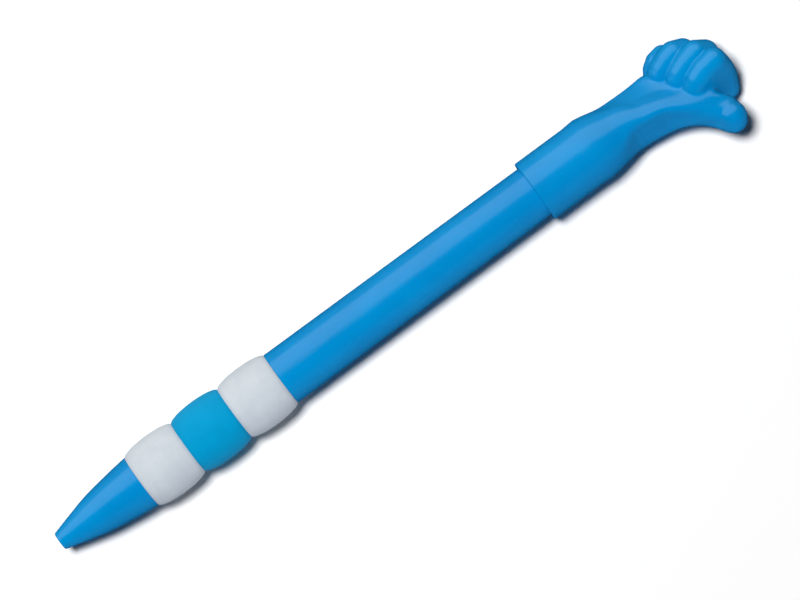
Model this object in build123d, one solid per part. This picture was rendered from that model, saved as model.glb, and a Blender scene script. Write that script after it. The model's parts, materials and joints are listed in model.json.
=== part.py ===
from build123d import *
import math
import os

# Novelty twist ballpoint pen whose top is a fist with its thumb stuck out.
# Millimetres. The pen is modelled along +X: nose opening at x = 0, hand at the far end, axis at y = z = 0.
# It lies on its beads and on the flat at the back of the hand. Each piece is moved at the end so that the
# origin is at the bottom centre of the whole pen.

# ---- driving dimensions ----------------------------------------------------------------------------------

# outside
nose_length = 17.65
nose_end_wall = 0.4
body_front_radius = 5.08  # nose root and front of the barrel
body_rear_radius = 4.93  # barrel at the hand's mouth: the mould's draft
bead_count = 3
bead_length = 10.0
bead_step = 0.04  # the beads' ends lie this far under the barrel's surface
bead_rise = 0.96
bead_colours = ("white", "blue", "white")
barrel_exposed = 54.8
skirt_overlap = 12.5  # how much of the barrel the hand hides
skirt_length = 12.6
skirt_wall = 0.92
arm_radius = 5.02

# fits
fixed_gap = 0.02  # glued, pressed or screwed
sliding_gap = 0.1
turning_gap = 0.07
loose_gap = 0.15
ear_gap = 0.2
end_play = 0.1

# refill
refill_radius = 1.5
refill_wall = 0.5
refill_rest = 1.65  # from the nose opening back to the ball
socket_depth = 6.0
point_length = 10.0
point_radius = 1.15
point_cone = 3.2
shank_length = 5.0
ink_channel_radius = 0.3
ball_radius = 0.5
ball_gap = 0.02
ball_shows = 0.3
lip_wall = 0.08
ear_place = 25.5  # from the ball to the ears that hold the spring
ear_length = 2.0
ear_reach = 0.7
ear_thickness = 0.6
ink_length = 68.0
seal_length = 3.0

# front section and barrel
bead_wall = 1.02
land_length = 2.5
spring_seat = 7.0
spigot_length = 8.0
barrel_wall = 1.6

# twist mechanism
travel = 5.0
twist_degrees = 180.0
follower_wall = 0.58
guide_wall = 0.6
flange_length = 2.4
cam_wall = 0.7
cam_end_wall = 1.2
cam_neck_radius = 2.75
lug_radius = 0.7
lug_wall = 0.3  # between the end of the refill and the lugs
slot_margin = 0.8  # material left past the end of a slot
bush_length = 2.5
drive_length = 8.0
snap_height = 0.2
snap_width = 0.8
snap_place = 3.0  # from the hand's mouth

# spring
spring_wire_radius = 0.2
spring_turns = 12
spring_gap = 0.01

# ---- radii that follow ------------------------------------------------------------------------------------

bead_end_radius = body_front_radius - bead_step
bead_radius = bead_end_radius + bead_rise
core_radius = bead_end_radius - bead_wall - fixed_gap
core_bore_radius = refill_radius + ear_reach + ear_gap
skirt_radius = body_rear_radius + turning_gap + skirt_wall
resting_height = max(bead_radius, skirt_radius)

nose_opening_radius = point_radius + sliding_gap
nose_end_radius = nose_opening_radius + nose_end_wall
point_passage_radius = refill_radius + loose_gap

follower_radius = refill_radius + fixed_gap + follower_wall
guide_bore_radius = follower_radius + sliding_gap
guide_radius = guide_bore_radius + guide_wall
cam_bore_radius = guide_radius + sliding_gap
cam_radius = cam_bore_radius + cam_wall
mechanism_bore_radius = cam_radius + loose_gap
slot_radius = lug_radius + sliding_gap

# ---- places along the pen ---------------------------------------------------------------------------------

x_grip = nose_length
x_barrel = x_grip + bead_count * bead_length
x_mouth = x_barrel + barrel_exposed
x_barrel_end = x_mouth + skirt_overlap
x_bush = x_barrel_end - bush_length

x_cam_end = x_bush - end_play
x_cam_bore_end = x_cam_end - cam_end_wall
x_guide_end = x_cam_bore_end - end_play
x_lug = x_guide_end - slot_margin - slot_radius
x_cam = x_lug - travel - slot_radius - 2 * slot_margin
x_seat = x_cam - end_play - flange_length

x_refill_end = x_lug - lug_radius - lug_wall
x_point = refill_rest
x_ball = x_point + ball_radius
x_tube = x_point + point_length
x_shank_end = x_tube + shank_length
x_ears = x_point + ear_place
x_ink = x_shank_end + end_play
x_ink_end = x_ink + ink_length

# ---- the hand ---------------------------------------------------------------------------------------------

# places are (along the pen from the hand's mouth, towards the fingers' side, up)
knuckle_height = 0.8 - resting_height  # the bones in the back of the hand, cut flat level with the beads
hand_back_height = 1.7 - resting_height
# fingertip, middle knuckle, root knuckle and the far end of the bone in the back of the hand
finger_bones = {
    "little": (
        (29.8, 5.4, -1.9),
        (32.7, 6.1, -2.3),
        (33.6, 3.0, knuckle_height),
        (26.8, 3.0, hand_back_height),
    ),
    "ring": (
        (31.0, 2.9, 0.0),
        (35.4, 4.1, -0.6),
        (36.2, 0.6, knuckle_height),
        (27.0, 1.2, hand_back_height),
    ),
    "middle": (
        (33.3, 0.3, 2.2),
        (37.9, 1.5, 1.4),
        (38.3, -1.9, knuckle_height),
        (27.6, -0.6, hand_back_height),
    ),
    "index": (
        (34.5, -2.5, 3.9),
        (39.1, -1.3, 3.3),
        (38.7, -4.6, knuckle_height),
        (28.4, -2.6, hand_back_height),
    ),
}
finger_radius = {"little": 1.75, "ring": 1.85, "middle": 1.85, "index": 1.85}
knuckle_bend = 1.9
palm_ends = ((33.0, 2.6, -1.6), (36.6, -2.6, 0.4))
palm_radius = 3.3
# the wrist, which leans over and narrows into the thumb: place, radius and lean in degrees
wrist_and_thumb = (
    ((skirt_length, 0.0, 0.0), skirt_radius, 0),
    ((skirt_length + 3.9, 0.0, 0.0), arm_radius + 0.33, 0),
    ((20.5, 0.0, 0.0), arm_radius, 0),
    ((25.0, -0.5, 0.1), arm_radius + 0.15, 12),
    ((28.6, -2.1, 0.5), arm_radius - 0.3, 32),
    ((32.0, -5.2, 1.2), 3.3, 50),
    ((34.0, -8.2, 1.9), 2.65, 62),
    ((35.0, -10.3, 2.2), 2.5, 70),
)

# ---- shapes -----------------------------------------------------------------------------------------------


def turned(*points):
    """Solid of revolution about the pen's axis, from (x, radius) points in order."""
    outline = Polyline(*[(x, r) for x, r in points], close=True)
    return revolve(make_face(Plane.XY * outline), Axis.X)


def tube(x0, x1, outer, inner):
    return turned((x0, inner), (x0, outer), (x1, outer), (x1, inner))


def rod(x0, x1, radius):
    return turned((x0, 0), (x0, radius), (x1, radius), (x1, 0))


def cross_bar(x, length, radius, start=0.0):
    """Round bar that stands on the axis, along +Z, from start to start + length."""
    return Pos(x, 0, start + length / 2) * Cylinder(radius, length)


def bead(x0):
    """Barrel-shaped ring: steep at its two ends, nearly straight over its middle."""
    middle = x0 + bead_length / 2
    x1 = x0 + bead_length
    shoulder = bead_end_radius + 0.6 * (bead_radius - bead_end_radius)
    side = Spline(
        (x0, bead_end_radius),
        (x0 + 0.13 * bead_length, shoulder),
        (middle, bead_radius),
        (x1 - 0.13 * bead_length, shoulder),
        (x1, bead_end_radius),
        tangents=((0.8, 1.0), (1.0, 0.19), (1.0, 0.0), (1.0, -0.19), (0.8, -1.0)),
    )
    bore = core_radius + fixed_gap
    ends = Polyline((x1, bead_end_radius), (x1, bore), (x0, bore), (x0, bead_end_radius))
    return revolve(make_face(side + ends), Axis.X)


def front_section():
    """Nose cone and the long tube behind it that carries the beads and screws into the barrel."""
    end = x_barrel + spigot_length
    side = Spline(
        (0, nose_end_radius),
        (nose_length * 0.46, body_front_radius * 0.745),
        (nose_length * 0.75, body_front_radius * 0.9),
        (nose_length, body_front_radius),
    )
    rest = Polyline(
        (nose_length, body_front_radius),
        (x_grip, core_radius),
        (end, core_radius),
        (end, core_bore_radius),
        (spring_seat, core_bore_radius),
        (spring_seat, point_passage_radius),
        (land_length, point_passage_radius),
        (land_length, nose_opening_radius),
        (0, nose_opening_radius),
        (0, nose_end_radius),
    )
    return revolve(make_face(side + rest), Axis.X)


def barrel():
    """Tapered tube with a threaded mouth, a bore for the refill and a wider one for the mechanism."""
    thread_bore = core_radius + fixed_gap
    thread_end = x_barrel + spigot_length + end_play
    bore = body_rear_radius - barrel_wall
    groove = body_rear_radius - snap_height - turning_gap
    groove_start = x_mouth + snap_place - turning_gap
    groove_end = x_mouth + snap_place + snap_width + turning_gap
    return turned(
        (x_barrel, thread_bore),
        (x_barrel, body_front_radius),
        (x_mouth, body_rear_radius),
        (groove_start, body_rear_radius),
        (groove_start, groove),
        (groove_end, groove),
        (groove_end, body_rear_radius),
        (x_barrel_end, body_rear_radius),
        (x_barrel_end, mechanism_bore_radius),
        (x_seat, mechanism_bore_radius),
        (x_seat, bore),
        (thread_end, bore),
        (thread_end, thread_bore),
    )


def guide_sleeve():
    """Fixed tube with two straight slots that keep the follower from turning."""
    body = turned(
        (x_seat, guide_bore_radius),
        (x_seat, mechanism_bore_radius - fixed_gap),
        (x_seat + flange_length, mechanism_bore_radius - fixed_gap),
        (x_seat + flange_length, guide_radius),
        (x_guide_end, guide_radius),
        (x_guide_end, guide_bore_radius),
    )
    reach = 2 * guide_radius + 2
    slot = Box(travel, 2 * slot_radius, reach)
    body -= Pos(x_lug - travel / 2, 0, 0) * slot
    for x in (x_lug, x_lug - travel):
        body -= cross_bar(x, reach, slot_radius, -reach / 2)
    return body


def cam_slot():
    """Cutter for one helical slot: half a turn, as the follower goes forward by its travel."""
    depth = cam_wall + 1.0
    middle = cam_bore_radius + cam_wall / 2
    path = Helix(travel * 360 / twist_degrees, travel, middle, lefthand=True)
    section = Plane(origin=path @ 0, x_dir=(1, 0, 0), z_dir=path % 0) * Rectangle(depth, 2 * slot_radius)
    slot = sweep(section, path=path, is_frenet=True)
    end = Pos(middle, 0, 0) * Rot(0, 90, 0) * Cylinder(slot_radius, depth)
    slot += end
    slot += Pos(0, 0, travel) * Rot(0, 0, -twist_degrees) * end
    return Pos(x_lug, 0, 0) * Rot(0, -90, 0) * slot


def cam_sleeve():
    """Tube that turns with the hand: two helical slots, a neck for the bush and a hexagonal driving head."""
    body = turned(
        (x_cam, cam_bore_radius),
        (x_cam, cam_radius),
        (x_cam_end, cam_radius),
        (x_cam_end, cam_neck_radius),
        (x_barrel_end, cam_neck_radius),
        (x_barrel_end, 0),
        (x_cam_bore_end, 0),
        (x_cam_bore_end, cam_bore_radius),
    )
    slot = cam_slot()
    body -= slot
    body -= Rot(180, 0, 0) * slot
    return body + drive_head(cam_neck_radius, x_barrel_end, drive_length)


def drive_head(radius, x0, length):
    return extrude(Plane.YZ.offset(x0) * RegularPolygon(radius, 6), length)


def follower():
    """Plug that holds the end of the refill and rides on two lugs in the slots."""
    socket = refill_radius + fixed_gap
    x0 = x_refill_end - socket_depth
    x1 = x_lug + lug_radius + lug_wall
    body = turned(
        (x0, socket),
        (x0, follower_radius),
        (x1, follower_radius),
        (x1, 0),
        (x_refill_end, 0),
        (x_refill_end, socket),
    )
    reach = 2 * (cam_radius - sliding_gap)
    return body + cross_bar(x_lug, reach, lug_radius, -reach / 2)


def rear_bush():
    return tube(x_bush, x_barrel_end, mechanism_bore_radius - fixed_gap, cam_neck_radius + turning_gap)


def return_spring():
    """Coil spring between the seat in the nose and the ears of the refill."""
    radius = (refill_radius + core_bore_radius) / 2
    length = x_ears - spring_seat - 2 * (spring_wire_radius + spring_gap)
    path = Helix(length / spring_turns, length, radius)
    section = Plane(origin=path @ 0, x_dir=(1, 0, 0), z_dir=path % 0) * Circle(spring_wire_radius)
    coil = sweep(section, path=path, is_frenet=True)
    return Pos(spring_seat + spring_wire_radius + spring_gap, 0, 0) * Rot(0, 90, 0) * coil


def refill_tube():
    ears = Pos(x_ears + ear_length / 2, 0, 0) * Box(
        ear_length, 2 * (refill_radius + ear_reach), ear_thickness
    )
    return tube(x_tube, x_refill_end, refill_radius, refill_radius - refill_wall) + (
        ears - rod(x_ears - 1, x_ears + ear_length + 1, refill_radius - refill_wall / 2)
    )


def refill_point():
    """Metal point: a cone that ends in the lip around the ball, a straight stem and a shank in the tube."""
    cavity = ball_radius + ball_gap
    x_lip = x_point + ball_shows
    lip_radius = math.sqrt(cavity**2 - (x_ball - x_lip) ** 2) + lip_wall
    shank = refill_radius - refill_wall - fixed_gap
    body = turned(
        (x_lip, 0),
        (x_lip, lip_radius),
        (x_point + point_cone, point_radius),
        (x_tube, point_radius),
        (x_tube, shank),
        (x_shank_end, shank),
        (x_shank_end, 0),
    )
    body -= Pos(x_ball, 0, 0) * Sphere(cavity)
    return body - rod(x_ball, x_shank_end + 1, ink_channel_radius)


def place(along, side, up):
    return Vector(x_mouth + along, side, up)


def round_bar(path, radius):
    """Bar of one thickness along a path, with half a ball on each end."""
    section = Plane(origin=path @ 0, z_dir=path % 0) * Circle(radius)
    body = sweep(section, path=path)
    for end in (path @ 0, path @ 1):
        body += Pos(end) * Sphere(radius)
    return body


def finger(name):
    """One curled finger and the bone behind it."""
    bones = FilletPolyline(*[place(*spot) for spot in finger_bones[name]], radius=knuckle_bend)
    return round_bar(bones, finger_radius[name])


def palm():
    """What fills the fist inside the curled fingers."""
    return round_bar(Line(*[place(*spot) for spot in palm_ends]), palm_radius)


def arm_and_thumb():
    sections = []
    for spot, radius, lean in wrist_and_thumb:
        facing = Vector(1, 0, 0).rotate(Axis.Z, -lean)
        sections.append(Plane(origin=place(*spot), x_dir=(0, 0, 1), z_dir=facing) * Circle(radius))
    tip, tip_radius, _ = wrist_and_thumb[-1]
    return loft(sections) + Pos(place(*tip)) * Sphere(tip_radius)


def hand_top():
    """One moulding: skirt, wrist, fist and thumb, hollow where the barrel and the driving head go in."""
    bore = body_rear_radius + turning_gap
    body = rod(x_mouth, x_mouth + skirt_length, skirt_radius) + arm_and_thumb() + palm()
    for name in finger_bones:
        body += finger(name)
    body -= Pos(x_mouth, 0, -resting_height - 10) * Box(200, 100, 20)
    body -= rod(x_mouth - 1, x_barrel_end + end_play, bore)
    body -= drive_head(cam_neck_radius + fixed_gap, x_barrel_end, drive_length + end_play)
    snap = tube(
        x_mouth + snap_place, x_mouth + snap_place + snap_width, bore + 0.3, body_rear_radius - snap_height
    )
    return body + snap


def build():
    pieces = {
        "front_section": front_section(),
        "barrel": barrel(),
        "hand_top": hand_top(),
        "cam_sleeve": cam_sleeve(),
        "guide_sleeve": guide_sleeve(),
        "follower": follower(),
        "rear_bush": rear_bush(),
        "return_spring": return_spring(),
        "refill_tube": refill_tube(),
        "refill_point": refill_point(),
        "writing_ball": Pos(x_ball, 0, 0) * Sphere(ball_radius),
        "ink_column": rod(x_ink, x_ink_end, refill_radius - refill_wall - fixed_gap),
        "ink_seal": rod(x_ink_end, x_ink_end + seal_length, refill_radius - refill_wall - fixed_gap),
    }
    for number in range(bead_count):
        colour = bead_colours[number % len(bead_colours)]
        pieces[f"grip_bead_{number + 1}_{colour}"] = bead(x_grip + number * bead_length)
    return pieces


if __name__ == "__main__":
    os.makedirs("parts", exist_ok=True)
    pieces = build()
    hand = pieces["hand_top"].bounding_box()
    to_origin = Pos(-hand.max.X / 2, -(hand.min.Y + hand.max.Y) / 2, resting_height)
    moved = to_origin.position
    print("pen's axis at y", moved.Y, "z", moved.Z, "nose at x", moved.X)
    for name, piece in pieces.items():
        piece = to_origin * piece
        export_step(piece, f"parts/{name}.step")
        box = piece.bounding_box()
        print(name, "volume", round(piece.volume, 2), "x", round(box.min.X, 2), "to", round(box.max.X, 2))
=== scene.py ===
import json
import math

import bmesh
import bpy
import numpy as np
import openvdb
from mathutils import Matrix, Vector


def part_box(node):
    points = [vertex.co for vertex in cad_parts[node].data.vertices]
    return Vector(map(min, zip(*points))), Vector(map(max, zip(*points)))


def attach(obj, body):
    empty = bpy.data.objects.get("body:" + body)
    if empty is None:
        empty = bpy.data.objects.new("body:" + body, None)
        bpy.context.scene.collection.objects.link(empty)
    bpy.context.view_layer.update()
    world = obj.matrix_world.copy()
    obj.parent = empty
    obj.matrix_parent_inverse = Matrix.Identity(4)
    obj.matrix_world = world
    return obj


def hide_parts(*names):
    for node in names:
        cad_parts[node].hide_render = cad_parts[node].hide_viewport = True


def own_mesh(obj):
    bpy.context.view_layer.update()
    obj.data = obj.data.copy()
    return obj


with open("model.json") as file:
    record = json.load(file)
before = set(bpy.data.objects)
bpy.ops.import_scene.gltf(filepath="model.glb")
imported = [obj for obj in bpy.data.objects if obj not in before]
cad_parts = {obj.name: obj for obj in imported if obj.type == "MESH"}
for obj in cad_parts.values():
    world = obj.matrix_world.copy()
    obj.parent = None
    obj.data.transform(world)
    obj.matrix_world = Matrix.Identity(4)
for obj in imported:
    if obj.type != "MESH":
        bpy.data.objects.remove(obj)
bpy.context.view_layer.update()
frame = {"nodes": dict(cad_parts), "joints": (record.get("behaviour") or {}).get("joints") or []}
mm = 0.001

joints = {joint["name"]: joint for joint in frame["joints"]}
axisY, axisZ = joints["hand_twist"]["pos_m"][1:]
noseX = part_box("front_section")[0].x
beadNodes = sorted(name for name in frame["nodes"] if name.startswith("grip_bead"))
mouthX = joints["hand_twist"]["pos_m"][0]
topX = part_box("hand_top")[1].x
print("pen", round((topX - noseX) / mm, 1), "mm long, its axis", round(axisZ / mm, 2), "mm above the floor")


# shader maths: a socket is wrapped, so that an expression on it adds the nodes
class Value:
    def __init__(self, shader, socket):
        self.shader = shader
        self.socket = socket

    def maths(self, operation, first, second):
        return self.shader.node("ShaderNodeMath", {"operation": operation}, {0: first, 1: second})

    def __add__(self, other):
        return self.maths("ADD", self, other)

    def __radd__(self, other):
        return self.maths("ADD", other, self)

    def __sub__(self, other):
        return self.maths("SUBTRACT", self, other)

    def __rsub__(self, other):
        return self.maths("SUBTRACT", other, self)

    def __mul__(self, other):
        return self.maths("MULTIPLY", self, other)

    def __rmul__(self, other):
        return self.maths("MULTIPLY", other, self)


class Shader:
    def __init__(self, name, **fixed):
        self.material = bpy.data.materials.new(name)
        self.material.use_nodes = True
        self.tree = self.material.node_tree
        self.surface = self.tree.nodes["Principled BSDF"]
        for key, value in fixed.items():
            self.surface.inputs[key.replace("_", " ")].default_value = value

    # any node: its type, its settings, then the values or links of its sockets
    def node(self, kind, settings=None, sockets=None, output=0):
        made = self.tree.nodes.new(kind)
        for key, value in (settings or {}).items():
            setattr(made, key, value)
        for key, value in (sockets or {}).items():
            self.plug(made.inputs[key], value)
        return Value(self, made.outputs[output])

    def plug(self, socket, value):
        if isinstance(value, Value):
            self.tree.links.new(value.socket, socket)
        else:
            socket.default_value = value

    def feed(self, **sockets):
        for key, value in sockets.items():
            self.plug(self.surface.inputs[key.replace("_", " ")], value)

    def noise(self, size, detail=2.0, rough=0.5, stretch=(1, 1, 1), distortion=0.0):
        place = self.node("ShaderNodeTexCoord", output="Object")
        spot = self.node("ShaderNodeMapping", {}, {"Vector": place, "Scale": stretch})
        sockets = {"Vector": spot, "Scale": 1 / size, "Detail": detail, "Roughness": rough}
        return self.node("ShaderNodeTexNoise", {}, {**sockets, "Distortion": distortion}, "Fac")

    def step(self, value, low, high):
        sockets = {"Value": value, "From Min": low, "From Max": high}
        return self.node("ShaderNodeMapRange", {"interpolation_type": "SMOOTHSTEP"}, sockets)

    def mix(self, mask, first, second):
        colours = {6: first, 7: second}
        for key, colour in colours.items():
            colours[key] = (*colour, 1) if isinstance(colour, tuple) else colour
        return self.node("ShaderNodeMix", {"data_type": "RGBA"}, {0: mask, **colours}, 2)

    def bump(self, height, strength, depth, under=None):
        sockets = {"Height": height, "Strength": strength, "Distance": depth}
        if under:
            sockets["Normal"] = under
        return self.node("ShaderNodeBump", {}, sockets)


glossBlue = {
    "colour": (0.0, 0.238, 0.555),
    "deeper": (0.0, 0.21, 0.51),
    "roughness": 0.19,
    "flow": 9 * mm,  # faint streaks that the melt leaves
    "peel": 0.6 * mm,
    "scuff": 0.09 * mm,
}


def glossPlastic(name, look):
    shader = Shader(name, IOR=1.5)
    flow = shader.noise(look["flow"], 3, 0.55, (0.45, 1, 1), 0.6)
    peel = shader.noise(look["peel"], 2, 0.5)
    scuff = shader.noise(look["scuff"], 2, 0.6, (0.08, 1, 1))
    worn = shader.step(scuff, 0.6, 0.78)
    shader.feed(
        Base_Color=shader.mix(shader.step(flow, 0.3, 0.7), look["deeper"], look["colour"]),
        Roughness=look["roughness"] + flow * 0.05 + worn * 0.12,
        Normal=shader.bump(peel, 0.22, 0.012 * mm, shader.bump(scuff, 0.06, 0.004 * mm)),
    )
    return shader.material


matteBead = {
    "white": (0.508, 0.55, 0.592),
    "whiteShade": (0.472, 0.514, 0.562),
    "blue": (0.0, 0.275, 0.53),
    "blueShade": (0.0, 0.26, 0.50),
    "roughness": 0.68,
    "grain": 0.13 * mm,
    "cloud": 3.5 * mm,
}


def mattePlastic(name, light, shade, look):
    shader = Shader(name, IOR=1.45, Specular_IOR_Level=0.12)
    cloud = shader.noise(look["cloud"], 4, 0.6)
    grain = shader.noise(look["grain"], 3, 0.65)
    speck = shader.step(shader.noise(look["grain"] * 2.2, 1, 0.5), 0.62, 0.75)
    darker = tuple(0.85 * channel for channel in shade)
    clouded = shader.mix(shader.step(cloud, 0.32, 0.68), shade, light)
    shader.feed(
        Base_Color=shader.mix(speck * 0.25, clouded, darker),
        Roughness=look["roughness"] + grain * 0.14 - speck * 0.08,
        Normal=shader.bump(grain, 0.5, 0.03 * mm),
    )
    return shader.material


innerLooks = {
    "mechanism": {"light": (0.80, 0.79, 0.74), "shade": (0.70, 0.69, 0.64),
                  "roughness": 0.42, "grain": 0.3 * mm},
    "refill": {"light": (0.82, 0.85, 0.87), "shade": (0.70, 0.75, 0.79),
               "roughness": 0.3, "grain": 0.5 * mm},
    "ink": {"light": (0.01, 0.02, 0.20), "shade": (0.0, 0.01, 0.12),
            "roughness": 0.12, "grain": 0.8 * mm},
    "grease": {"light": (0.74, 0.68, 0.46), "shade": (0.62, 0.55, 0.34),
               "roughness": 0.2, "grain": 0.7 * mm},
}


def innerPlastic(name, look):
    shader = Shader(name, IOR=1.48)
    grain = shader.noise(look["grain"], 3, 0.6)
    shader.feed(
        Base_Color=shader.mix(shader.step(grain, 0.3, 0.7), look["shade"], look["light"]),
        Roughness=look["roughness"] + grain * 0.12,
        Normal=shader.bump(grain, 0.25, 0.01 * mm),
    )
    return shader.material


metalLooks = {
    "point": {"light": (0.80, 0.62, 0.32), "shade": (0.66, 0.48, 0.22),
              "roughness": 0.2, "turning": 0.05 * mm},
    "spring": {"light": (0.72, 0.72, 0.72), "shade": (0.5, 0.5, 0.51),
               "roughness": 0.26, "turning": 0.08 * mm},
    "ball": {"light": (0.42, 0.42, 0.44), "shade": (0.3, 0.3, 0.32),
             "roughness": 0.12, "turning": 0.06 * mm},
}


def turnedMetal(name, look):
    shader = Shader(name, Metallic=0.7)  # dull enough to catch the lamps that its reflections miss
    lines = shader.noise(look["turning"], 2, 0.6, (1, 0.04, 0.04))
    stain = shader.noise(look["turning"] * 18, 4, 0.6)
    shader.feed(
        Base_Color=shader.mix(shader.step(stain, 0.35, 0.7), look["shade"], look["light"]),
        Roughness=look["roughness"] + lines * 0.12 + stain * 0.06,
        Normal=shader.bump(lines, 0.35, 0.004 * mm),
    )
    return shader.material


bluePlastic = glossPlastic("gloss_blue_plastic", glossBlue)
beadPlastic = {
    "white": mattePlastic("matte_white_plastic", matteBead["white"], matteBead["whiteShade"], matteBead),
    "blue": mattePlastic("matte_blue_plastic", matteBead["blue"], matteBead["blueShade"], matteBead),
}
inner = {name: innerPlastic(name + "_plastic", look) for name, look in innerLooks.items()}
metal = {name: turnedMetal(name + "_metal", look) for name, look in metalLooks.items()}
print("materials made:", len(bpy.data.materials))


def finished(name, mesh):
    piece = bpy.data.objects.new(name, mesh)
    bpy.context.scene.collection.objects.link(piece)
    mesh.polygons.foreach_set("use_smooth", [True] * len(mesh.polygons))
    return piece


def settle(piece, body, material, slotName, *nodes):
    piece.data.materials.append(material)
    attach(piece, body)
    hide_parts(*nodes)


# (distance from the nose, radius, fillet) corners of a closed outline, each rounded by its fillet
def rounded(corners, steps=5):
    points = []
    for index, (x, r, fillet) in enumerate(corners):
        spot = Vector((x, r))
        if not fillet:
            points.append(spot)
            continue
        before = (Vector(corners[index - 1][:2]) - spot).normalized()
        after = (Vector(corners[(index + 1) % len(corners)][:2]) - spot).normalized()
        half = before.angle(after) / 2
        centre = spot + (before + after).normalized() * fillet / math.sin(half)
        start = spot + before * fillet / math.tan(half) - centre
        end = spot + after * fillet / math.tan(half) - centre
        for step in range(steps + 1):
            points.append(centre + start.lerp(end, step / steps).normalized() * fillet)
    return points


# a smooth line through a few points, in any number of dimensions
def flowing(points, steps):
    points = [np.array(point, float) for point in points]
    points = [2 * points[0] - points[1], *points, 2 * points[-1] - points[-2]]
    line = []
    for p0, p1, p2, p3 in zip(points, points[1:], points[2:], points[3:]):
        for step in range(steps):
            t = step / steps
            line.append(0.5 * (2 * p1 + (p2 - p0) * t + (2 * p0 - 5 * p1 + 4 * p2 - p3) * t**2
                        + (3 * p1 - p0 - 3 * p2 + p3) * t**3))
    return [*line, points[-2]]


# a closed outline turned about the pen's axis
def turned(name, outline, segments=160):
    build = bmesh.new()
    rings = []
    for x, r in outline:
        angles = [2 * math.pi * step / segments for step in range(segments)]
        rings.append([build.verts.new((noseX + x * mm, axisY + r * mm * math.cos(angle),
                                       axisZ + r * mm * math.sin(angle))) for angle in angles])
    for ring, following in zip(rings, rings[1:] + rings[:1]):
        for step in range(segments):
            after = (step + 1) % segments
            build.faces.new((ring[step], ring[after], following[after], following[step]))
    bmesh.ops.recalc_face_normals(build, faces=build.faces)
    mesh = bpy.data.meshes.new(name)
    build.to_mesh(mesh)
    build.free()
    return finished(name, mesh)


# front section: the nose and the long core that the beads sit on
frontShape = {
    "nose": [(0.5, 1.8), (4.1, 2.78), (8.12, 3.785), (13.24, 4.572), (15.6, 4.87), (17.4, 5.06)],
    "noseEnd": 1.65,
    "noseBack": 5.08,
    "opening": 1.25,
    "openingEnd": 2.5,
    "rim": 0.18,
    "passage": 1.65,
    "springSeat": 7.0,
    "bore": 2.4,
    "core": 4.0,
    "shoulder": 17.65,
    "end": 55.65,
}


def makeFront(shape):
    outline = rounded([
        (0, shape["opening"], 0.06),
        (0, shape["noseEnd"], shape["rim"]),
        *[(x, r, 0) for x, r in flowing(shape["nose"], 10)],
        (shape["shoulder"], shape["noseBack"], 0.08),
        (shape["shoulder"], shape["core"], 0.15),
        (shape["end"], shape["core"], 0.2),
        (shape["end"], shape["bore"], 0.2),
        (shape["springSeat"], shape["bore"], 0.1),
        (shape["springSeat"], shape["passage"], 0.1),
        (shape["openingEnd"], shape["passage"], 0.1),
        (shape["openingEnd"], shape["opening"], 0.05),
    ])
    front = turned("front_section_turned", outline)
    settle(front, "pen_body", bluePlastic, "blue_plastic", "front_section")


makeFront(frontShape)
print("front section made")


# beads: barrel-shaped rings with short steep ends
beadShape = {
    "bore": 4.02,
    "endRadius": 5.04,
    "endCorner": 0.06,
    "side": [(0.1, 5.15), (0.5, 5.41), (1.0, 5.57), (2.0, 5.80), (3.1, 5.92), (5.0, 6.0)],
}


def makeBead(node, shape):
    low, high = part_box(node)
    start, length = (low.x - noseX) / mm, (high.x - low.x) / mm
    half = shape["side"]
    side = flowing([*half, *[(length - x, r) for x, r in half[-2::-1]]], 7)
    outline = rounded([
        (0, shape["bore"], 0.15),
        (0, shape["endRadius"], shape["endCorner"]),
        *[(x, r, 0) for x, r in side],
        (length, shape["endRadius"], shape["endCorner"]),
        (length, shape["bore"], 0.15),
    ])
    colour = node.rsplit("_", 1)[1]
    bead = turned(node + "_turned", [(start + x, r) for x, r in outline])
    settle(bead, "pen_body", beadPlastic[colour], "bead_" + colour, node)


for node in beadNodes:
    makeBead(node, beadShape)
print("beads made:", len(beadNodes))


barrelShape = {
    "start": 47.65,
    "frontRadius": 5.08,
    "taperStart": (75.0, 5.005),
    "mouth": 102.45,
    "rearRadius": 4.93,
    "groove": (105.38, 106.32, 4.66),
    "end": 114.95,
    "wideBore": 3.75,
    "wideBoreStart": 99.55,
    "bore": 3.33,
    "threadEnd": 55.75,
    "threadBore": 4.02,
    "edge": 0.16,
}


def makeBarrel(shape):
    grooveStart, grooveEnd, grooveRadius = shape["groove"]
    outline = rounded([
        (shape["start"], shape["threadBore"], 0.12),
        (shape["start"], shape["frontRadius"], shape["edge"]),
        (*shape["taperStart"], 0),
        (shape["mouth"], shape["rearRadius"], 0),
        (grooveStart, shape["rearRadius"], 0.06),
        (grooveStart, grooveRadius, 0.06),
        (grooveEnd, grooveRadius, 0.06),
        (grooveEnd, shape["rearRadius"], 0.06),
        (shape["end"], shape["rearRadius"], 0.25),
        (shape["end"], shape["wideBore"], 0.12),
        (shape["wideBoreStart"], shape["wideBore"], 0.1),
        (shape["wideBoreStart"], shape["bore"], 0.1),
        (shape["threadEnd"], shape["bore"], 0.1),
        (shape["threadEnd"], shape["threadBore"], 0.1),
    ])
    barrel = turned("barrel_turned", outline)
    settle(barrel, "pen_body", bluePlastic, "blue_plastic", "barrel")


makeBarrel(barrelShape)
print("barrel made")


springShape = {
    "meanRadius": 1.95,
    "wire": 0.2,
    "turns": 12,
    "closedTurns": 1.5,  # at each end, wound against each other
    "samples": 26,
    "sides": 8,
    "squeezed": 0.752,  # length left when the point is out
}


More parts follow.
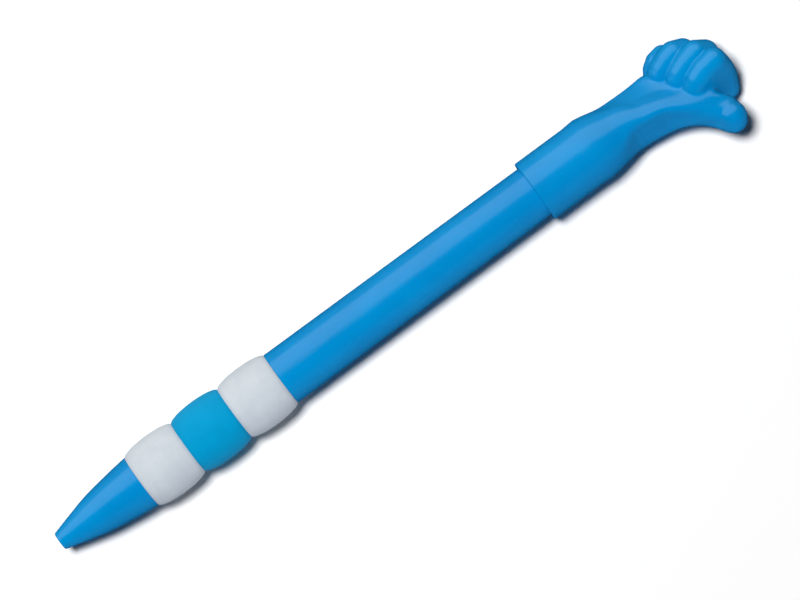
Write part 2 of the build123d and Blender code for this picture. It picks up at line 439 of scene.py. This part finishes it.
def makeSpring(shape):
    low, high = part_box("return_spring")
    start, length = low.x + shape["wire"] * mm, high.x - low.x - 2 * shape["wire"] * mm
    closed = shape["closedTurns"]
    pitch = 2 * shape["wire"] * 1.06 * mm
    openPitch = (length - 2 * closed * pitch) / (shape["turns"] - 2 * closed)
    build = bmesh.new()
    rings = []
    for sample in range(shape["turns"] * shape["samples"] + 1):
        turn = sample / shape["samples"]
        openTurns = min(max(turn - closed, 0), shape["turns"] - 2 * closed)
        x = start + (turn - openTurns) * pitch + openTurns * openPitch
        angle = 2 * math.pi * turn
        out = Vector((0, math.cos(angle), math.sin(angle)))
        ring = []
        for side in range(shape["sides"]):
            around = 2 * math.pi * side / shape["sides"]
            spot = out * (shape["meanRadius"] + shape["wire"] * math.cos(around)) * mm
            spot.x = x + shape["wire"] * mm * math.sin(around)
            ring.append(build.verts.new((spot.x, axisY + spot.y, axisZ + spot.z)))
        rings.append(ring)
    for ring, following in zip(rings, rings[1:]):
        for side in range(shape["sides"]):
            after = (side + 1) % shape["sides"]
            build.faces.new((ring[side], ring[after], following[after], following[side]))
    build.faces.new(rings[0])
    build.faces.new(rings[-1])
    bmesh.ops.recalc_face_normals(build, faces=build.faces)
    mesh = bpy.data.meshes.new("return_spring_coil")
    build.to_mesh(mesh)
    build.free()
    spring = finished("return_spring_coil", mesh)
    settle(spring, "pen_body", metal["spring"], "spring_wire", "return_spring")
    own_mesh(spring)


makeSpring(springShape)
print("spring made")


# The hand is one solid, modelled by distances and then meshed. Places are millimetres: along the pen from
# the hand's mouth, to the side (the thumb is on the minus side), and up from the pen's axis.
handShape = {
    "skirt": 5.92,
    "skirtLength": 12.6,
    "bore": 5.0,
    "snap": (3.4, 0.27, 0.4),  # middle, height and half width of the ring that holds the hand on
    "socket": 2.4,  # half the width across the flats
    "socketEnd": 20.6,
    "rim": 0.3,
    # the forearm's section is two circles and what is between them; each is along, side, up, radius
    "thumbSide": [
        (12.6, 0, 0, 5.92), (14.4, 0, 0.05, 5.62), (17.5, -0.1, 0.3, 4.85), (20.5, -0.5, 0.55, 4.3),
        (24, -1.7, 0.8, 3.75), (27, -2.6, 0.9, 3.45), (30, -3.9, 1.1, 3.1), (36, -5.0, 1.1, 2.9),
    ],
    "littleSide": [
        (12.6, 0, 0, 5.92), (14.4, 0.3, -0.2, 5.3), (17.5, 1.5, -0.9, 3.65), (20.5, 2.4, -1.5, 2.6),
        (24, 2.9, -1.9, 2.1), (27, 3.1, -2.1, 2.1), (30, 3.1, -2.3, 2.2), (36, 2.5, -2.6, 2.4),
    ],
    "thumbEdge": [
        (12.6, 0, 0, 5.92), (14.6, -0.2, -0.1, 5.5), (17.5, -0.9, -0.5, 4.4), (20, -1.7, -0.8, 3.5),
        (26, -3.0, -0.6, 2.75), (29.6, -4.9, -0.1, 2.1), (32.6, -7.9, 0.7, 1.75), (34.3, -10.1, 1.3, 1.8),
    ],
    "crease": (0.796, 0.605, 25.6),  # where the palm ends and the fingers start
    "creaseRound": 1.7,
    # how widely one form runs into the next
    "blends": {"back": 1.0, "thumb": 0.8, "thumbEdge": 0.6, "fist": 0.45, "web": 0.6, "flat": 0.4,
               "boreEnd": 0.3, "boreEdge": 0.25, "socketEnd": 0.2, "socketEdge": 0.15},
    # across the knuckles, towards the thumb, and back from the knuckles to the hand's back
    "across": (0.155, -0.749, 0.643),
    "back": (0.0, -0.651, -0.759),
    # radius, height, line of the front of the finger, and the places behind it as (along, depth)
    "fingers": {
        "index": (2.4, 3.2, [(38.3, -0.1), (36.1, -0.45), (34.4, -1.1), (33.4, -1.85)],
                  [(31.5, 5.2), (36.0, 7.4), (37.9, 7.4), (38.6, 4.6), (38.65, 2.4)]),
        "middle": (2.45, 1.55, [(36.6, 2.75), (34.6, 2.3), (32.8, 1.6), (31.9, 1.0)],
                   [(28.5, 7.4), (37.0, 7.4), (38.2, 3.6), (38.15, 1.4)]),
        "ring": (2.4, -0.2, [(33.6, 4.95), (32.2, 4.6), (30.8, 4.0), (30.0, 3.5)],
                 [(27.5, 7.4), (34.8, 7.4), (36.0, 3.0), (35.3, 1.0)]),
        "little": (1.85, -1.9, [(32.1, 5.95), (30.6, 5.7), (29.5, 4.9)],
                   [(27.0, 7.0), (32.6, 7.0), (32.8, 3.6)]),
    },
    "groove": 0.2,
    # along, side, up, radius
    "thumb": [
        (24, -1.7, 0.8, 3.7), (27, -2.6, 0.9, 3.4), (29.5, -3.8, 1.1, 3.05), (32.2, -5.6, 1.5, 2.8),
        (34.0, -7.3, 1.6, 2.6), (35.1, -8.5, 1.8, 2.5), (35.5, -9.7, 2.5, 2.45), (35.3, -10.45, 2.1, 2.35),
    ],
    "backOfHand": [(22, 0, -1.6, 3.9), (28, -0.4, -2.6, 3.5), (35, -1.4, -2.7, 3.3)],
    # the edge between the ball of the thumb and the facet below it: along, side, up
    "ridge": [
        (16, -0.3, 9.5), (20, -1.1, 5.2), (24, -1.9, 4.45), (26.6, -2.6, 4.25),
        (29.7, -4.9, 4.05), (31.2, -6.6, 3.95), (33.0, -9.6, 3.6), (34.2, -12.6, 3.4),
    ],
    "facetTilt": 50,
    "ridgeRound": 0.6,
    "web": (34.6, -4.1, 2.3, 1.1),
    "flat": -5.98,
    "cell": 0.19,
    "low": (-0.6, -13.6, -6.6),  # the box that is meshed
    "high": (41.9, 8.8, 6.6),
}


def softMin(first, second, width):
    share = np.clip(0.5 + 0.5 * (second - first) / width, 0, 1)
    return second + (first - second) * share - width * share * (1 - share)


def softMax(first, second, width):
    return -softMin(-first, -second, width)


# a bar that follows a smooth line of (along, side, up, radius)
def barDistance(p, line, steps=4):
    line = np.array(flowing(line, steps))
    nearest = np.full(len(p), 1e3)
    for start, end in zip(line, line[1:]):
        reach = end[:3] - start[:3]
        share = np.clip((p - start[:3]) @ reach / (reach @ reach), 0, 1)
        gap = np.linalg.norm(p - start[:3] - share[:, None] * reach, axis=1)
        nearest = np.minimum(nearest, gap - start[3] - share * (end[3] - start[3]))
    return nearest


def polygonDistance(q, corners):
    nearest = np.full(len(q), 1e6)
    inside = np.zeros(len(q), bool)
    for start, end in zip(corners, np.roll(corners, -1, axis=0)):
        edge, w = end - start, q - start
        share = np.clip(w @ edge / (edge @ edge), 0, 1)
        nearest = np.minimum(nearest, ((w - share[:, None] * edge) ** 2).sum(1))
        crosses = (start[1] > q[:, 1]) != (end[1] > q[:, 1])
        slope = edge[0] / (edge[1] if edge[1] else 1e-9)
        inside ^= crosses & (q[:, 0] < start[0] + (q[:, 1] - start[1]) * slope)
    return np.sqrt(nearest) * np.where(inside, -1, 1)


# one curled finger: a thick plate with round edges
def fingerDistance(p, finger, across, back):
    radius, up, front, behind = finger
    across = np.array(across) / np.linalg.norm(across)
    back = np.array(back) - across * (across @ np.array(back))
    back /= np.linalg.norm(back)
    line = np.cross(across, back)
    line *= np.sign(line[0])
    origin = np.array((*front[1], up))
    basis = np.array((line, back))
    corners = []
    for along, side in front:
        corners.append(np.linalg.solve(basis[:, :2].T, np.array((along, side)) - origin[:2]))
    for along, depth in behind:
        corners.append(np.array(((along - origin[0] - depth * back[0]) / line[0], depth)))
    corners = np.array(corners)
    flat = polygonDistance((p - origin) @ basis.T, corners)
    return np.hypot(np.maximum(flat, 0), (p - origin) @ across) - radius


# a section that changes along the pen: two circles and what is between them
def sectionDistance(p, first, second):
    first, second = np.array(flowing(first, 6)), np.array(flowing(second, 6))
    a = np.stack([np.interp(p[:, 0], first[:, 0], first[:, column]) for column in (1, 2, 3)], 1)
    b = np.stack([np.interp(p[:, 0], second[:, 0], second[:, column]) for column in (1, 2, 3)], 1)
    reach, w = b - a, p[:, 1:] - a[:, :2]
    length = (reach[:, :2] ** 2).sum(1) + 1e-9
    slant = reach[:, 2] / np.sqrt(length)
    share = (w * reach[:, :2]).sum(1) / length
    aside = np.sqrt(np.maximum((w**2).sum(1) - share**2 * length, 0))
    share = np.clip(share + slant * aside / np.sqrt(np.maximum(1 - slant**2, 0.05) * length), 0, 1)
    return np.linalg.norm(w - share[:, None] * reach[:, :2], axis=1) - a[:, 2] - share * reach[:, 2]


# how far a point lies outside the facet that falls away from a line, in plan on the line's far side
def facetDistance(p, line, tilt):
    line = np.array(flowing(line, 3))
    nearest = np.full(len(p), 1e3)
    outside, height = np.zeros(len(p)), np.zeros(len(p))
    for start, end in zip(line, line[1:]):
        reach, w = (end - start)[:2], p[:, :2] - start[:2]
        share = np.clip(w @ reach / (reach @ reach), 0, 1)
        away = w - share[:, None] * reach
        gap = np.hypot(*away.T)
        closer = gap < nearest
        nearest[closer] = gap[closer]
        crossing = away[:, 0] * reach[1] - away[:, 1] * reach[0]
        outside[closer] = (np.sign(crossing) * gap)[closer]
        height[closer] = (start[2] + share * (end[2] - start[2]))[closer]
    tilt = math.radians(tilt)
    return outside * math.sin(tilt) + (p[:, 2] - height) * math.cos(tilt)


def handDistance(p, shape):
    along, side, up = p.T
    reach = np.hypot(side, up)
    armSkin = sectionDistance(p, shape["thumbSide"], shape["littleSide"])
    blends = shape["blends"]
    alongShare, sideShare, place = shape["crease"]
    armSkin = softMax(armSkin, alongShare * along + sideShare * side - place, shape["creaseRound"])
    skirt = np.maximum(reach - shape["skirt"], along - shape["skirtLength"] - 1)
    armSkin = np.where(along < shape["skirtLength"], skirt, armSkin)
    armSkin = softMin(armSkin, barDistance(p, shape["backOfHand"]), blends["back"])
    hand = softMin(armSkin, barDistance(p, shape["thumb"]), blends["thumb"])
    hand = softMin(hand, barDistance(p, shape["thumbEdge"]), blends["thumbEdge"])
    facet = np.where(along > shape["ridge"][0][0], facetDistance(p, shape["ridge"], shape["facetTilt"]), -9.0)
    hand = softMax(hand, facet, shape["ridgeRound"])
    fist = np.full(len(p), 1e3)
    for finger in shape["fingers"].values():
        fist = softMin(fist, fingerDistance(p, finger, shape["across"], shape["back"]), shape["groove"])
    hand = softMin(hand, fist, blends["fist"])
    *webPlace, webRadius = shape["web"]
    web = np.linalg.norm(p - np.array(webPlace), axis=1) - webRadius
    hand = softMin(hand, web, blends["web"])
    hand = softMax(hand, shape["flat"] - up, blends["flat"])
    hand = softMax(hand, -along, shape["rim"])

    snapPlace, snapHeight, snapWidth = shape["snap"]
    snap = snapHeight * np.clip(1 - ((along - snapPlace) / snapWidth) ** 2, 0, 1)
    bore = softMax(reach - shape["bore"] + snap, along - shape["skirtLength"], blends["boreEnd"])
    flats = [np.abs(side * math.cos(a) + up * math.sin(a)) for a in (math.pi / 2, math.pi / 6, -math.pi / 6)]
    hexagon = np.maximum.reduce(flats) - shape["socket"]
    socket = softMax(hexagon, along - shape["socketEnd"], blends["socketEnd"])
    return softMax(softMax(hand, -bore, blends["boreEdge"]), -socket, blends["socketEdge"])


# puts a mesh on the surface that the distances describe
def meshFrom(distance, low, high, cell):
    counts = [int((h - l) / cell) + 2 for l, h in zip(low, high)]
    axes = [l + cell * np.arange(count) for l, count in zip(low, counts)]
    field = np.empty(counts, np.float32)
    for index, along in enumerate(axes[0]):
        side, up = np.meshgrid(axes[1], axes[2], indexing="ij")
        layer = np.stack([np.full(side.size, along), side.ravel(), up.ravel()], 1)
        field[index] = distance(layer).reshape(side.shape)
    grid = openvdb.FloatGrid(background=1.0)
    grid.copyFromArray(field)
    points, quads = grid.convertToQuads(isovalue=0.0)
    points = np.array(low) + cell * points.astype(float)
    for _ in range(4):
        gap = distance(points)
        slope = np.stack([
            (distance(points + shift) - distance(points - shift)) / 0.04 for shift in 0.02 * np.eye(3)], 1)
        move = gap[:, None] * slope / np.maximum((slope**2).sum(1), 0.25)[:, None]
        points -= np.clip(move, -0.5 * cell, 0.5 * cell)
    return points, quads


def makeHand(shape):
    cell = shape["cell"] * 1
    low, high = shape["low"], shape["high"]
    points, quads = meshFrom(lambda p: handDistance(p, shape), low, high, cell)
    points = points * mm + np.array((mouthX, axisY, axisZ))
    mesh = bpy.data.meshes.new("hand_top_moulded")
    mesh.from_pydata(points.tolist(), [], quads.tolist())
    build = bmesh.new()
    build.from_mesh(mesh)
    bmesh.ops.recalc_face_normals(build, faces=build.faces)
    build.to_mesh(mesh)
    build.free()
    hand = finished("hand_top_moulded", mesh)
    settle(hand, "hand", bluePlastic, "blue_plastic", "hand_top")
    print("hand faces:", len(quads))


makeHand(handShape)
print("hand made")


# what shows only through the nose or when the pen is opened
innerFinish = {
    "cam_sleeve": inner["mechanism"],
    "guide_sleeve": inner["mechanism"],
    "follower": inner["mechanism"],
    "rear_bush": inner["mechanism"],
    "refill_tube": inner["refill"],
    "refill_point": metal["point"],
    "writing_ball": metal["ball"],
    "ink_column": inner["ink"],
    "ink_seal": inner["grease"],
}
for node, material in innerFinish.items():
    slots = frame["nodes"][node].data.materials
    slots.clear()
    slots.append(material)
print("inner parts finished:", len(innerFinish))


stageLook = {"size": 3.0, "colour": (0.98, 0.98, 0.98), "roughness": 0.9}


def makeFloor(look):
    build = bmesh.new()
    bmesh.ops.create_grid(build, x_segments=8, y_segments=8, size=look["size"])
    mesh = bpy.data.meshes.new("floor")
    build.to_mesh(mesh)
    build.free()
    floor = finished("floor", mesh)
    shader = Shader("pale_floor", Roughness=look["roughness"], Specular_IOR_Level=0.0)
    shader.feed(Base_Color=(*look["colour"], 1))
    mesh.materials.append(shader.material)
    floor.visible_glossy = False


makeFloor(stageLook)
notFloor = bpy.data.collections.new("not_floor")
notFloor.objects.link(bpy.data.objects["floor"])
notFloor.collection_objects[0].light_linking.link_state = "EXCLUDE"


# tilt is from straight up, towards the pen's far side (+Y); turn is about the pen, from there to its nose
lights = {
    "key": {"tilt": 14, "turn": 24, "distance": 1.2, "size": (0.26, 0.26), "power": 15.6, "glossy": False},
    "leftFill": {"tilt": 66, "turn": 0, "distance": 1.0, "size": (1.4, 0.9), "power": 3.6,
                 "tint": (1.0, 1.0, 0.9), "glossy": False, "floor": False},
    "rightFill": {"tilt": -72, "turn": 0, "distance": 1.0, "size": (1.4, 0.9), "power": 4.5,
                  "tint": (0.78, 0.87, 1.0), "glossy": False, "floor": False},
    "band": {"tilt": 50, "turn": 0, "distance": 0.6, "size": (1.8, 0.75), "power": 5.0, "diffuse": False},
}


def makeLight(name, look):
    light = bpy.data.lights.new(name, "AREA")
    light.shape = "RECTANGLE"
    light.size, light.size_y = look["size"]
    light.energy = look["power"]
    light.color = look.get("tint", (1, 1, 1))
    lamp = bpy.data.objects.new(name, light)
    bpy.context.scene.collection.objects.link(lamp)
    tilt, turn = math.radians(look["tilt"]), math.radians(look["turn"])
    aim = Vector((-math.sin(tilt) * math.sin(turn), math.sin(tilt) * math.cos(turn), math.cos(tilt)))
    lamp.location = Vector((0, axisY, axisZ)) + aim * look["distance"]
    lamp.rotation_euler = aim.to_track_quat("Z", "Y").to_euler()
    lamp.visible_camera = False
    lamp.visible_glossy = look.get("glossy", True)
    lamp.visible_diffuse = look.get("diffuse", True)
    if not look.get("floor", True):
        lamp.light_linking.receiver_collection = notFloor


for name, look in lights.items():
    makeLight(name, look)

worldStrength = 0.02
world = bpy.data.worlds.new("studio")
bpy.context.scene.world = world
world.use_nodes = True
world.node_tree.nodes["Background"].inputs["Color"].default_value = (1.0, 1.0, 1.0, 1)
world.node_tree.nodes["Background"].inputs["Strength"].default_value = worldStrength
world.cycles_visibility.glossy = False
bpy.context.scene.view_settings.view_transform = "Standard"

cameraLook = {"aim": (0.84 * mm, 1.37 * mm), "height": 0.8, "turn": -36.4, "lens": 207.0}


def makeCamera(look):
    data = bpy.data.cameras.new("camera")
    data.sensor_width = 36
    data.lens = look["lens"]
    data.clip_start = 0.01
    camera = bpy.data.objects.new("camera", data)
    bpy.context.scene.collection.objects.link(camera)
    camera.location = (*look["aim"], axisZ + look["height"])
    camera.rotation_euler = (0, 0, math.radians(look["turn"]))
    bpy.context.scene.camera = camera


makeCamera(cameraLook)
print("stage, lights and camera made")
